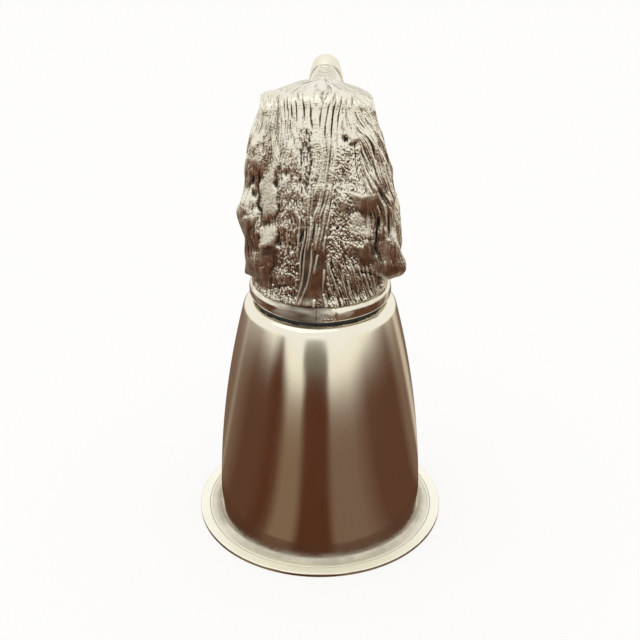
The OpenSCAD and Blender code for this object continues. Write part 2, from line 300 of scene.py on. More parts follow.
# The tables below are laid out as seen from this many degrees right of the nape
HAIR_AZIMUTH = 3.0
HAIR_LOW, HAIR_HIGH = np.array([-40.0, 68.0]), np.array([40.0, 140.0])
# Middle line of the mane, from the collar to the crown
MANE = np.array([[-4.2], [-2.1], [-1.3], [0.0], [0.9], [1.3], [1.4]])
# Deep grooves below the crown, as [across, top, length]
TOP_GROOVES = [
    (-9.2, 125.6, 4.4), (-8, 125.8, 4.4), (-6.6, 123.5, 4), (-5.3, 125, 6.4), (-3.3, 125.4, 6.8),
    (-1.8, 124.4, 8), (-0.3, 122.6, 6.6), (1.5, 125, 11), (2.8, 125.4, 11), (4.2, 125.8, 10)]
# Thin raised lines on the smooth end of the mane, as [across, top, length]
MANE_LINES = [
    (-4.4, 94.5, 10), (-3.3, 94, 16), (-2.5, 93.5, 22), (-1.8, 95, 9), (-1.6, 88, 17), (-0.4, 92, 6),
    (1.1, 90, 4), (-0.6, 85, 5), (0.9, 81, 6), (0.8, 74.5, 4.5), (-1.4, 73, 2.5)]
# Matted locks, as [across, place of the crest, reach up, reach down, reach across, height,
# share smoothed below the crest, which also gets painted shade]
LOCKS = [
    (10.5, 101.6, 5, 5.6, 3.2, 1.5, 1), (10.3, 88.4, 1.6, 5.6, 2.6, 1.0, 1), (17, 83.2, 6, 4.4, 2.4, 0.7, 1),
    (8, 115.2, 7, 1.4, 2, 0.35, 0), (-12.6, 88, 4, 4.6, 2.5, 1.1, 1), (-15, 82.6, 4.5, 5, 2.4, 1.0, 1),
    (-9.7, 79.4, 2, 1, 1.7, 0.5, 0.4), (-17.8, 95.6, 4, 5, 2.4, 1.0, 1),
    (-15.4, 109.8, 6, 2.6, 1.8, 0.5, 0.6), (5.6, 98.8, 3.5, 3, 1.5, 0.4, 1)]
# Matted clumps with a pitted face that leans out downwards, paler by painted light, as [across, place, half
# width, half length, height]
CLUMPS = [(-12.3, 101.8, 1.8, 6.2, 1.1), (-12.4, 90.4, 2.2, 2.6, 0.5), (9.9, 93, 3.1, 2.9, 0.75)]
# Hollows between the locks, as [across, height, reach across, reach up, height]
HOLLOWS = [
    (-14.8, 101.5, 0.5, 5, -0.35), (-16.9, 104.2, 0.9, 1.4, -0.45), (-16, 100.8, 0.6, 1.2, -0.35),
    (-9, 106, 1.1, 1.5, -0.35), (-10, 104, 0.5, 1.6, -0.3), (-11.4, 83.2, 0.9, 1.6, -0.3),
    (-9, 76.2, 1.6, 0.8, -0.4), (-2.8, 110, 1.1, 6, -0.25), (5.8, 115, 0.8, 1, -0.5),
    (7.6, 113.4, 1.2, 0.5, -0.2), (6.5, 106, 2.6, 5, -0.3), (14.8, 94.4, 0.6, 2, -0.4),
    (14.4, 88, 0.6, 3, -0.4), (11, 81, 2, 0.6, -0.4), (7.2, 97, 1.6, 1.2, -0.2)]


def mane_line(z):
    return curve(MANE, np.clip((z - HAIR_Z) / (CROWN_Z - HAIR_Z), 0, 1) * 6)[..., 0]


def hair_flow(u, z):
    """Direction of the hair, pointing down."""
    middle = mane_line(z)
    run = (mane_line(z - 0.5) - middle) * 2 * bump((u - middle) / 4)
    run = run + 0.4 * smooth(7, 12, u) * smooth(92, 100, z)
    run = run + 0.32 * smooth(2.5, 5, u - middle) * smooth(92, 84, z)
    run = run + 0.45 * smooth(5, 8, u) * smooth(113, 117, z)
    run = run - 0.15 * smooth(-8, -14, u) * smooth(98, 106, z)
    run = run + 0.22 * noise(u / 2.5, z / 4, 60.5)
    size = np.sqrt(1 + run * run)
    return run / size, -1 / size


def engrave(low, high, groups):
    """Map of strokes that taper at both ends, each group as [starts, flow, length, width, height]."""
    cells = ((high - low) / CELL).astype(int) + 1
    raised, cut = np.zeros(cells), np.zeros(cells)
    box = np.stack(np.meshgrid(range(-4, 5), range(-4, 5), indexing="ij"), -1).reshape(-1, 2)
    for place, flow, length, width, height in groups:
        place = np.array(place, float)
        steps_taken = 0
        while len(place):
            along = np.stack(flow(place[:, 0], place[:, 1]), -1)
            cell = np.round((place - low) / CELL).astype(int)[:, None] + box
            gap = low + cell * CELL - place[:, None]
            aside = gap[..., 0] * along[:, None, 1] - gap[..., 1] * along[:, None, 0]
            ahead = np.abs((gap * along[:, None]).sum(-1))
            taper = np.sin(math.pi * np.clip(steps_taken * CELL / length, 0.02, 1)) ** 0.6
            value = (height * taper)[:, None] * bump(aside / width[:, None]) * (ahead < 1.5 * CELL)
            cell = np.clip(cell, 0, cells - 1)
            np.maximum.at(raised, (cell[..., 0], cell[..., 1]), np.maximum(value, 0))
            np.minimum.at(cut, (cell[..., 0], cell[..., 1]), np.minimum(value, 0))
            place = place + along * CELL
            steps_taken += 1
            alive = steps_taken * CELL < length
            place, length, width, height = place[alive], length[alive], width[alive], height[alive]
    return raised + cut


def scatter(count, box, length, width, height, flow=hair_flow, keep=None):
    """Group of strokes started at random in a box, each value given as a range."""
    place = rng.uniform((box[0], box[2]), (box[1], box[3]), (count, 2))
    if keep is not None:
        place = place[keep(place[:, 0], place[:, 1])]
    values = [rng.uniform(*span, len(place)) for span in (length, width, height)]
    return place, flow, *values


def drawn(lines, width, height):
    """Group of strokes from a table of [across, top, length]."""
    lines = np.array(lines, float)
    return lines[:, :2], hair_flow, lines[:, 2], np.full(len(lines), width), np.full(len(lines), height)


def crinkle(u, z):
    """Wandering direction for short strokes."""
    turn = 2.4 * noise(u / 0.7, z / 0.7, 61.5) - 1.2
    return np.cos(turn), np.sin(turn)


def in_mane(u, z):
    return np.abs(u - mane_line(z)) < 2.6


def beside_mane(u, z):
    return u - mane_line(z) > 2.4


hair_map = engrave(HAIR_LOW, HAIR_HIGH, [
    drawn(TOP_GROOVES, 0.24, -0.36),
    scatter(110, (-12, 6, 112, 125), (2, 6), (0.12, 0.17), (-0.2, -0.06)),
    scatter(130, (-14, 12, 123.5, 129), (2, 5), (0.12, 0.18), (-0.2, -0.06)),
    scatter(90, (-14, 12, 123.5, 129), (2, 5), (0.12, 0.18), (0.05, 0.14)),
    scatter(70, (5, 12, 115, 125), (3, 8), (0.12, 0.17), (-0.18, -0.06)),
    scatter(80, (-12, 6, 110, 125), (2, 6), (0.14, 0.22), (0.05, 0.14)),
    scatter(130, (-5, 5, 88, 120), (7, 18), (0.14, 0.2), (0.08, 0.24), hair_flow, in_mane),
    scatter(110, (-5, 5, 86, 120), (6, 15), (0.12, 0.17), (-0.24, -0.08), hair_flow, in_mane),
    scatter(1400, (2, 11, 83, 113), (0.5, 1.5), (0.12, 0.18), (0.05, 0.2), crinkle, beside_mane),
    scatter(950, (2, 11, 83, 113), (0.4, 1.2), (0.12, 0.16), (-0.24, -0.05), crinkle, beside_mane),
    scatter(120, (1.5, 15, 73, 86), (3, 9), (0.12, 0.17), (0.16, 0.36), hair_flow, beside_mane),
    scatter(100, (1.5, 15, 72, 86), (2, 7), (0.11, 0.15), (-0.3, -0.08), hair_flow, beside_mane),
    scatter(300, (1.5, 15, 72, 84), (0.3, 0.7), (0.12, 0.16), (0.1, 0.24), crinkle, beside_mane),
    scatter(160, (-14, -4.5, 72, 86), (0.3, 0.8), (0.12, 0.16), (0.12, 0.26), crinkle),
    scatter(100, (9, 20, 97, 117), (4, 10), (0.17, 0.25), (-0.42, -0.16)),
    scatter(900, (-13, -3.5, 72, 116), (0.8, 3), (0.12, 0.18), (0.03, 0.12)),
    scatter(700, (-13, -3.5, 72, 116), (0.6, 2.5), (0.12, 0.16), (-0.18, -0.03)),
    scatter(160, (-4.5, -1.5, 102, 117), (0.8, 2.2), (0.13, 0.18), (-0.34, -0.1)),
    scatter(700, (9, 38, 74, 138), (4, 11), (0.12, 0.18), (0.03, 0.1)),
    scatter(600, (9, 38, 74, 138), (3, 9), (0.11, 0.16), (-0.17, -0.03)),
    scatter(700, (-38, -11, 74, 138), (3, 9), (0.12, 0.18), (0.03, 0.1)),
    scatter(600, (-38, -11, 74, 138), (2, 7), (0.11, 0.16), (-0.17, -0.03))])
line_map = engrave(HAIR_LOW, HAIR_HIGH, [drawn(MANE_LINES, 0.18, 0.5)])


def sample(field, low, u, v):
    """Value of a map between its cells."""
    u, v = (np.clip((c - o) / CELL, 0, n - 1.001) for c, o, n in zip((u, v), low, field.shape))
    i, j = u.astype(int), v.astype(int)
    f, g = u - i, v - j
    return mix(mix(field[i, j], field[i + 1, j], f), mix(field[i, j + 1], field[i + 1, j + 1], f), g)


def hair(base, a, side=1):
    """Height of the hair by place on the head and angle from the nape, and what it adds to the wear, painted
    shade and painted light.
    """
    turned = math.radians(HAIR_AZIMUTH)
    x = base[..., 0] * side + math.sin(turned) * base[..., 1]
    v = base[..., 2] + LEAN * (base[..., 1] + NECK_R)
    u = SPREAD * (a * side - HAIR_AZIMUTH) + 0 * v
    x = x + 0.9 * noise(u / 3.2, v / 3.2, 62.5) + 0.15 * noise(u / 1.1, v / 1.1, 67.5)
    v2 = v + 0.9 * noise(u / 3.2, v / 3.2, 63.5) + 0.15 * noise(u / 1.1, v / 1.1, 68.5)
    form, calm, pale = 0.0, 0.0, 0.0
    for mid, crest, up, down, reach, high, smoothed_and_shaded in LOCKS:
        lock = bump((x - mid) / reach, (v2 - crest) / np.where(v2 > crest, up, down))
        form = form + high * lock
        calm = np.maximum(calm, smoothed_and_shaded * smooth(0.2, 0.5, lock) * smooth(crest + 0.4, crest - 0.4, v2))
    for mid, place, half, tall, high in CLUMPS:
        away = np.abs((x - mid) / half) ** 3 + np.abs((v2 - place) / tall) ** 3
        clump = smooth(1.35, 0.65, away ** (1 / 3))
        form = form + high * clump * (0.6 - 0.4 * (v2 - place) / tall)
        # Painted light: the clump's face is made paler
        pale = np.maximum(pale, clump)
    form = form + lumps(x, v2, HOLLOWS)
    mane_end = smooth(3.2, 2.4, np.abs(u - mane_line(v) - 0.4)) * smooth(90, 84, v)
    fine = sample(hair_map, HAIR_LOW, u, v) * (1 - 0.9 * np.maximum(calm, mane_end))
    fine = fine * (1 - 0.35 * pale) * (1 + 0.5 * smooth(104, 92, v))
    fine = fine + sample(line_map, HAIR_LOW, u, v)
    fine = fine + 0.2 * noise(u / 0.8, 0.5, 69.5) * bump((v - 124.4) / 1.2)
    skin = 0.07 * pits(u, v, 0.6, 64) + 0.05 * pits(u, v, 0.3, 65)
    skin = skin * (1 + pale) * (1 - 0.9 * calm) * (1 - mane_end)
    swell = 0.3 * noise(u / 3.2, v / 5, 66.5) * (1 - calm)
    stain = bump((x - STAIN_X) / 2.8, (v2 - STAIN_Z) / 2.4)
    # Painted light on the clumps, painted shade under the lock crests, and a real stain
    worn_and_painted_light = PALE_LIGHT * pale - CALM_SHADE * calm - STAIN_WEAR * stain
    return fine + skin + form + swell, worn_and_painted_light


def low_shade(z):
    """How much painted shade darkens the coat towards the collar."""
    return 0.03 * smooth(106, 82, z)


# Nape: the back of the head and the throat

def nape():
    s = np.concatenate([[0.0, 0.97], np.linspace(1, SEAM + SEAM_LAP, 400)])[:, None]
    a = steps((-180, -120, 40), (-120, -62, 50), (-62, 62, 300), (62, 120, 50), (120, 180, 40))[None]
    base = head_point(s, a, head_form(s, a))
    across, z = arc_length(base, int(np.argmin(np.abs(a)))), base[..., 2]
    back = smooth(84, 70, np.abs(a))
    wave = across + 1.2 * np.sin(z / 3.5)
    throat = 0.5 * strands(wave, z, 1.6, 0.9, 14) + 0.15 * strands(wave, z, 0.7, 0.9, 15) - 0.4
    coat, worn_and_painted_light = hair(base, a)
    height = mix(throat, coat, back) + 0.5 * smooth(1.4, 1.0, s)
    wear_and_painted_light = wear_of(height, True, 6) - low_shade(z) + worn_and_painted_light
    height = (height - SEAM_DIP * smooth(SEAM, SEAM + SEAM_LAP, s)) * smooth(0.97, 1.02, s)
    skin = base + normals(base, True) * height[..., None]
    hollow = head_point(np.array([SEAM + 0.1, 4, 0])[:, None], a, -HOLLOW_DEPTH)
    wear_and_painted_light = np.concatenate([wear_and_painted_light, np.zeros(hollow.shape[:2])])
    return grid_object("nape", np.concatenate([skin, hollow]), wear_and_painted_light, looped_rows=True)


# Face: fur that fans from the brow over the crown, wrinkled bridge, smooth nose, eyes and lips

EYE_SECTION, EYE_ANGLE = 11.4, 64.0
NOSTRIL_SECTION, NOSTRIL_ANGLE = 19.15, 62.0
# Line between the lips in degrees from the top, from the corner of the mouth to the front
LIP_LINE = [[126], [131], [136], [141], [152], [172]]
CROWN_LOW, CROWN_HIGH = np.array([-18.0, -18.0]), np.array([18.0, 14.0])


def crown_flow(x, y):
    """Direction of the fur, fanning back from the brow."""
    turn = np.arctan2(2.6 * x, 13 - y) + 0.25 * noise(x / 4, y / 4, 20.5)
    return np.sin(turn), -np.cos(turn)


crown_map = engrave(CROWN_LOW, CROWN_HIGH, [
    scatter(220, (-14, 14, -12, 11), (4, 11), (0.15, 0.25), (0.06, 0.18), crown_flow),
    scatter(240, (-14, 14, -12, 11), (4, 11), (0.12, 0.18), (-0.24, -0.08), crown_flow)])


def face():
    s = np.append(steps((SEAM - SEAM_LAP, 10, 100), (10, 12.4, 80), (12.4, TIP, 110)), TIP)[:, None]
    a = steps((-180, -120, 40), (-120, 120, 230), (120, 180, 40))[None]
    base = head_point(s, a, head_form(s, a))
    x, y, z = np.moveaxis(base, -1, 0)
    tilt = np.abs(a)
    crown = smooth(80, 62, tilt) * smooth(12.2, 11.2, s)
    fur = sample(crown_map, CROWN_LOW, x, y) + 0.04 * pits(x, y, 0.5, 28)
    lane = 2 * s - 0.2 * tilt
    coat = 0.24 * strands(lane, 3 * s, 1.0, 0.9, 23) + 0.1 * strands(lane, 3 * s, 0.45, 0.9, 24)
    height = mix(coat, fur, crown) - 0.2
    height = mix(hair(base, a)[0], height, smooth(7.3, 8.3, s + 0.25 * noise(x / 1.2, 0.5, 29.5)))
    speck = grains(s * 4.2, a / 4.2, 9)
    height = height - 0.3 * bump(speck / 0.3) * bump((s - 9.9) / 0.8, (a - 66) / 14)
    muzzle = smooth(12.6, 13.6, s) * smooth(125, 112, tilt)
    whisker = grains(s * 2.0, a / 7.5, 5)
    bare = 0.06 * pits(x + y, z, 0.8, 25) - 0.22 * bump(whisker / 0.16) * smooth(76, 90, tilt)
    height = mix(height, bare, 0.8 * muzzle)
    nose = smooth(15.9, 16.25, s) * smooth(106, 96, tilt)
    bridge = smooth(13.4, 14.2, s) * smooth(46, 30, tilt) * (1 - nose)
    height = height + 0.1 * np.sin(7 * y - 0.25 * x * x + noise(x, y, 26.5)) * bridge
    height = mix(height, 0.05 * pits(x * 1.3 + y, z + y, 0.5, 27), nose)
    crease = bump((s - 15.95 - 0.0009 * tilt ** 1.6) / 0.15) * smooth(110, 98, tilt)
    height = height - 0.6 * crease * mix(0.25, 1, smooth(10, 40, tilt))
    height = height + 0.35 * bump((s - 18.9) / 0.7, (tilt - 50) / 18)
    height = height - 0.75 * bump((s - 16.5) / 1.3, (tilt - 78) / 26)

    eye = head_point(EYE_SECTION, EYE_ANGLE, 0.0)
    ahead = head_point(EYE_SECTION + 0.2, EYE_ANGLE, 0.0) - eye
    ahead /= np.linalg.norm(ahead)
    over = head_point(EYE_SECTION, EYE_ANGLE - 4, 0.0) - eye
    over = over - ahead * (over @ ahead)
    over /= np.linalg.norm(over)
    mirrored = base * np.sign(a)[..., None] ** np.array([1, 0, 0])
    offset = mirrored - eye
    along, above = offset @ ahead, offset @ over
    ring = np.hypot(along / 2.3, above / 1.7)
    ball = 1.5 * np.sqrt(np.clip(1.05 - ring ** 2, 0, 1)) - 0.75
    lid = 0.6 * bump((ring - 1.28) / 0.3) * mix(0.45, 1.3, smooth(-1, 1, above))
    near_eye = smooth(2.2, 1.5, ring)
    height = mix(height, 0.3 * height, near_eye) + lid
    pupil = 0.25 * bump(np.hypot(along - 0.2, above) / 0.6)
    socket = 0.3 * bump((ring - 1.02) / 0.1)
    height = np.where(ring < 1, ball - pupil, height - socket)

    lip = curve(LIP_LINE, np.clip((s - 12.6) / 5.6, 0, 1) * 5)[..., 0]
    mouth = bump((tilt - lip) / 3.0) * smooth(12.5, 13.2, s) * smooth(18.8, 18.3, s)
    upper_lip = 0.35 * bump((tilt - lip + 8) / 5) * smooth(12.5, 13.2, s) * smooth(18.6, 17.6, s)
    height = height - 0.9 * mouth + upper_lip
    nostril = head_point(NOSTRIL_SECTION, NOSTRIL_ANGLE, 0.0)
    hole = np.linalg.norm((mirrored - nostril) / np.array([0.8, 1.2, 0.9]), axis=-1)
    height = height - 1.2 * bump(hole)
    height = height - 0.45 * bump(x / 0.35) * smooth(18.2, 18.8, s) * smooth(84, 110, tilt)
    wear_and_painted_light = wear_of(height, True, 4)
    wear_and_painted_light = np.maximum(wear_and_painted_light, 0.75 * nose * (1 - bump(hole)))
    height = height - SEAM_DIP * smooth(SEAM, SEAM - SEAM_LAP, s)
    skin = base + normals(base, True) * height[..., None]
    hollow = head_point(np.array([12.5, 10, SEAM - 0.1])[:, None], a, -HOLLOW_DEPTH)
    wear_and_painted_light = np.concatenate([np.zeros(hollow.shape[:2]), wear_and_painted_light])
    return grid_object("face", np.concatenate([hollow, skin]), wear_and_painted_light)


# Ears: wavy flaps with long strands and smooth lumps along the rear edge

# Outlines, as [section, rear edge, front edge, share of the thickness], edges in degrees from the nape
LEFT_KEYS = [
    [1.25, 80, 100, 0.3], [1.5, 62, 112, 0.42], [2, 50, 122, 0.42], [3, 46, 126, 0.6], [4, 46, 124, 0.72],
    [5, 40, 116, 0.72], [6, 29, 100, 0.6], [7, 26, 78, 0.3], [7.9, 28, 68, 0.26], [9.1, 34, 62, 0.22]]
RIGHT_KEYS = [
    [1.25, 80, 100, 0.4], [1.5, 62, 112, 0.75], [2, 50, 122, 0.95], [3, 46, 126, 1], [4, 40, 124, 1],
    [5, 33, 104, 0.66], [6, 24, 72, 0.34], [7, 18, 60, 0.28], [7.6, 22, 54, 0.2], [8.2, 32, 48, 0.1]]
# Curls, as [section, degrees from the nape, reach in sections, reach in degrees, share of the thickness]
LEFT_CURLS = [
    (3.55, 84, 0.5, 14, 0.62), (4.6, 50, 0.5, 13, 0.38), (2.9, 54, 0.4, 13, 0.4), (1.9, 56, 0.35, 13, 0.28)]
RIGHT_CURLS = [(1.8, 82, 0.5, 15, 0.44), (4, 52, 0.5, 13, 0.4), (2.8, 54, 0.4, 13, 0.38)]


def ear(name, keys, curls, side):
    rows, cols, under = 400, 280, 12
    key = curve(keys, np.linspace(0, len(keys) - 1, rows))
    s, rear, front, share = (key[:, i:i + 1] for i in range(4))
    w = np.linspace(0, 1, cols)[None]
    a = mix(rear, front, w)
    end = smooth(keys[-1][0], keys[-1][0] - 0.7, s)
    root = smooth(5, 6.5, s)
    belly = np.where(w < 0.5, smooth(0, mix(0.4, 0.5, root), w), (1 - np.abs(2 * w - 1) ** 3) ** 0.6)
    wave = LOCK_H * share * np.cos(2 * math.pi * (3.2 * w + 0.35 * np.sin(np.radians(140 * s))))
    lip = mix(-0.9, EAR_GAP + EAR_EDGE_T, smooth(0, mix(0.3, 0.9, root), w))
    rise = lip + belly * (EAR_T * (share + lumps(s, a, curls)) + wave)
    base = head_point(s, a, head_form(s, a) + mix(-0.6, rise, end))
    z = base[..., 2]
    height, worn_and_painted_light = hair(base, a, side)
    height = height - 0.1
    edge = smooth(1, 0.95, w) * smooth(0, 0.03, np.linspace(0, 1, rows))[:, None]
    height = height * edge
    skin = base + normals(base, False) * height[..., None]
    inner = head_point(s, mix(rear, front, np.linspace(1, 0, under)[None]), -1.0)
    grid = np.concatenate([skin, inner], 1) * np.array([side, 1, 1])
    wear_and_painted_light = wear_of(height, False, 6) - low_shade(z) + worn_and_painted_light
    wear_and_painted_light = np.concatenate([wear_and_painted_light, np.full(inner.shape[:2], 0.2)], 1)
    return grid_object(name, grid if side > 0 else grid[:, ::-1], wear_and_painted_light if side > 0 else wear_and_painted_light[:, ::-1])


# Bowl: the spun sheet on one smooth arc, turned with fine steps

def arc(centre, r, start, end, count):
    angle = np.radians(np.linspace(start, end, count))
    return np.stack([centre[0] + r * np.cos(angle), centre[1] + r * np.sin(angle)], -1)


def lathe(name, profile, painted_shade, sway):
    """Turned skin with end caps and a mottled dark ring of painted shade. sway is how far it strays from a
    true round.
    """
    turn = np.linspace(0, 2 * math.pi, 256, endpoint=False)[None]
    r, z = profile[:, :1], profile[:, 1:]
    stray = sway * noise(1.6 * np.cos(turn) + 9, 1.6 * np.sin(turn) + 9, z / 14)
    r = r + stray * (r > 1)
    grid = np.stack([r * np.cos(turn), r * np.sin(turn), z + 0 * turn], -1)
    mottled = 1 + 0.4 * noise(3 * np.cos(turn), 3 * np.sin(turn), z / 3)
    mottled = mottled + 0.2 * noise(14 * np.cos(turn), 14 * np.sin(turn), z / 1.2)
    return grid_object(name, grid[::-1], np.clip(1 - painted_shade[:, None] * mottled, 0, 1)[::-1])


WALL_DROP = BOWL_FOOT_R - BOWL_END_R
WALL_R = (WALL_DROP ** 2 + BOWL_H ** 2) / (2 * WALL_DROP)
WALL = (BOWL_FOOT_R - WALL_R, 0.0)
FLARE_COS, FLARE_SIN = math.cos(math.radians(FLARE_ANGLE)), math.sin(math.radians(FLARE_ANGLE))
FLARE_Z = SHEET_T + FOOT_FILLET_R + (FLARE_R - FOOT_FILLET_R) * FLARE_SIN
FOOT_A = math.degrees(math.asin(FLARE_Z / (WALL_R + FLARE_R)))
FLARE = (WALL[0] + (WALL_R + FLARE_R) * math.cos(math.radians(FOOT_A)), FLARE_Z)
FOOT = (FLARE[0] - (FLARE_R - FOOT_FILLET_R) * FLARE_COS, SHEET_T + FOOT_FILLET_R)
RIM_R = FOOT[0] + FLANGE_W
# Depth of the painted shade in the corner at the foot of the wall
FOOT_SHADE = 0.4


def bowl():
    rise = BOWL_H - SHOULDER_R
    run = math.sqrt((WALL_R - SHOULDER_R) ** 2 - rise ** 2)
    shoulder, shoulder_a = (WALL[0] + run, rise), math.degrees(math.atan2(rise, run))

    def side(inset):
        return np.concatenate([arc(FOOT, FOOT_FILLET_R + inset, 270, 180 + FLARE_ANGLE, 24),
                               arc(FLARE, FLARE_R + inset, 180 + FLARE_ANGLE, 180 + FOOT_A, 12)[1:],
                               arc(WALL, WALL_R - inset, FOOT_A, shoulder_a, 80)[1:-1],
                               arc(shoulder, SHOULDER_R - inset, shoulder_a, 90, 24)])

    low, high = RIM_R - 0.05, RIM_R - 0.02
    edge_z = (0.03, 0.06, 0.3, SHEET_T - 0.06, SHEET_T - 0.03)
    edge = [[low, 0], *([high, z] for z in edge_z), [low, SHEET_T]]
    top = [[r, BOWL_H] for r in (12, 4, 0.4)]
    bottom = [[r, BOWL_H - SHEET_T] for r in (0.4, 4, 12)]
    profile = np.concatenate([bottom, side(SHEET_T)[::-1], edge, side(0), top])
    # Painted shade: a mottled dark ring in the corner where the wall meets the flange
    painted_shade = bump((profile[:, 0] - FOOT[0] + 0.8) / 1.1, (profile[:, 1] - SHEET_T - 0.9) / 3.2)
    return lathe("bowl_skin", profile, FOOT_SHADE * painted_shade, sway=0.012)


def rim_band():
    inner, top = RIM_R - BAND_W, SHEET_T + BAND_T
    line = inner + REED_W + LINE_W / 2
    groove = [(0.15, 0), (0.08, 0.06), (0, 0.14), (-0.08, 0.06), (-0.15, 0)]
    crown = np.linspace(line + LINE_W / 2, RIM_R - BAND_EDGE_R, 14)[1:-1]
    profile = np.concatenate([
        [[inner + 0.03, SHEET_T - 0.02], [RIM_R - 0.05, SHEET_T - 0.02]],
        [[RIM_R - 0.02, SHEET_T], [RIM_R - 0.02, SHEET_T + 0.03]],
        arc((RIM_R - 0.02 - BAND_EDGE_R, top - BAND_EDGE_R), BAND_EDGE_R, 0, 90, 8),
        np.stack([crown, np.full(12, top)], -1)[::-1],
        [[line + aside, top - deep] for aside, deep in groove],
        arc((inner + 0.22, top - 0.22), 0.22, 90, 180, 6), [[inner, SHEET_T]]])
    turn = np.linspace(0, 2 * math.pi, 320, endpoint=False)[None]
    r, z = profile[:, :1], profile[:, 1:]
    wave = 0.05 * noise(7 * np.cos(turn) + 9, 7 * np.sin(turn) + 9, r / 2.5) - 0.05
    z = z + wave * (z > SHEET_T + 0.1)
    wear_and_painted_light = 1 - 0.6 * bump((r - line) / 0.12) + 0 * turn
    grid = np.stack([r * np.cos(turn), r * np.sin(turn), z], -1)
    return grid_object("rim_skin", grid, wear_and_painted_light, looped_rows=True)


# Collar: a flattened strap bent round the neck by hand, with a rough lapped joint

STRAP_OUT, STRAP_LOW = 1.28, 0.3


def strap(name, start, sweep, count, proud, rough):
    """Stretch of the collar by degrees. proud lifts its start, and rough is the height of its grain."""
    f = np.linspace(0, 1, count)[:, None]
    turn = np.radians(start + sweep * f)
    beside = (start + sweep * f + 270) % 360 - 180
    out, half = COLLAR_OUT, COLLAR_H - 0.05
    r = (half * half + out * out) / (2 * out)
    angle = np.linspace(-1, 1, 40)[None] * math.asin(half / r)
    lift = -np.log(np.exp(-8 * (out - r + r * np.cos(angle))) + np.exp(-8 * STRAP_OUT)) / 8
    lift = lift * (1 + 0.05 * np.cos(turn) + proud / out * (1 - f) ** 0.5)
    lift = lift + 0.1 * noise(3 * np.cos(turn) + 5, 3 * np.sin(turn) + 5, angle)
    lift = lift + rough * pits(turn * 22, angle * 2.2, 0.9, 51) * np.cos(angle)
    ring_r = NECK_R + FIT_GAP + lift
    z = COLLAR_Z + r * np.sin(angle) - STRAP_LOW * smooth(0.4, -0.6, np.sin(angle))
    z = z + 0.35 * bump((beside + 70) / 30) - 0.15 * bump((beside + 5) / 35)
    skin = np.stack([ring_r * np.cos(turn), ring_r * np.sin(turn), z], -1)
    inner = np.stack([NECK_R * np.cos(turn), NECK_R * np.sin(turn), COLLAR_Z + 0 * turn], -1)
    grid = np.concatenate([skin, inner], 1)
    # Painted shade: the strap's colour darkens round its front; the noise and pits are its own grain
    wear_and_painted_light = 0.95 - 0.8 * bump((beside + 12) / 20) + 0.3 * noise(beside / 9, angle * 2, 52.5)
    wear_and_painted_light = wear_and_painted_light + 0.8 * rough * pits(beside, angle, 1.5, 53)
    return grid_object(name, grid[:, ::-1], np.clip(np.append(wear_and_painted_light, 0.3 + 0 * turn, 1), 0, 1)[:, ::-1])


# Materials

def principled(name):
    mat = bpy.data.materials.new(name)
    mat.use_nodes = True
    return mat, mat.node_tree.nodes, mat.node_tree.links, mat.node_tree.nodes["Principled BSDF"]


def ramp(tree_nodes, stops):
    node = tree_nodes.new("ShaderNodeValToRGB")
    while len(node.color_ramp.elements) < len(stops):
        node.color_ramp.elements.new(0.5)
    for element, (pos, colour) in zip(node.color_ramp.elements, stops):
        element.position = pos
        element.color = colour if len(colour) == 4 else (*colour, 1)
    return node


def grey(value):
    return (value, value, value)


def math_node(n, operation, value=None):
    node = n.new("ShaderNodeMath")
    node.operation = operation
    if value is not None:
        node.inputs[1].default_value = value
    return node


def wear_and_painted_light_node(n):
    node = n.new("ShaderNodeAttribute")
    node.attribute_name = "wear_and_painted_light"
    return node


def fine_bump(n, link, shader, scale, height):
    place = n.new("ShaderNodeTexCoord")
    grain = n.new("ShaderNodeTexNoise")
    grain.inputs["Scale"].default_value = scale
    grain.inputs["Detail"].default_value = 4.0
    lift = n.new("ShaderNodeBump")
    lift.inputs["Distance"].default_value = height
    link.new(place.outputs["Object"], grain.inputs["Vector"])
    link.new(grain.outputs["Fac"], lift.inputs["Height"])
    link.new(lift.outputs["Normal"], shader.inputs["Normal"])


def cast_metal(name):
    mat, n, link, shader = principled(name)
    wear_and_painted_light = wear_and_painted_light_node(n)
    colours = ramp(n, [(0.05, (0.03, 0.03, 0.032)), (0.26, (0.27, 0.22, 0.18)), (0.5, (0.86, 0.835, 0.725))])
    rough = ramp(n, [(0.1, grey(0.55)), (0.42, grey(0.13)), (0.58, grey(0.13)), (0.8, grey(0.6))])
    for node, socket in ((colours, "Base Color"), (rough, "Roughness")):
        link.new(wear_and_painted_light.outputs["Fac"], node.inputs["Fac"])
        link.new(node.outputs["Color"], shader.inputs[socket])
    shader.inputs["Metallic"].default_value = 1.0
    fine_bump(n, link, shader, 2600.0, 0.00007)
    return mat


# Colour where the wear values are 0 on the polished pieces: tarnish in the rim's line and the collar's grain,
# and painted shade at the bowl's foot and the collar's front
TARNISH_AND_SHADE = (0.2, 0.155, 0.12)


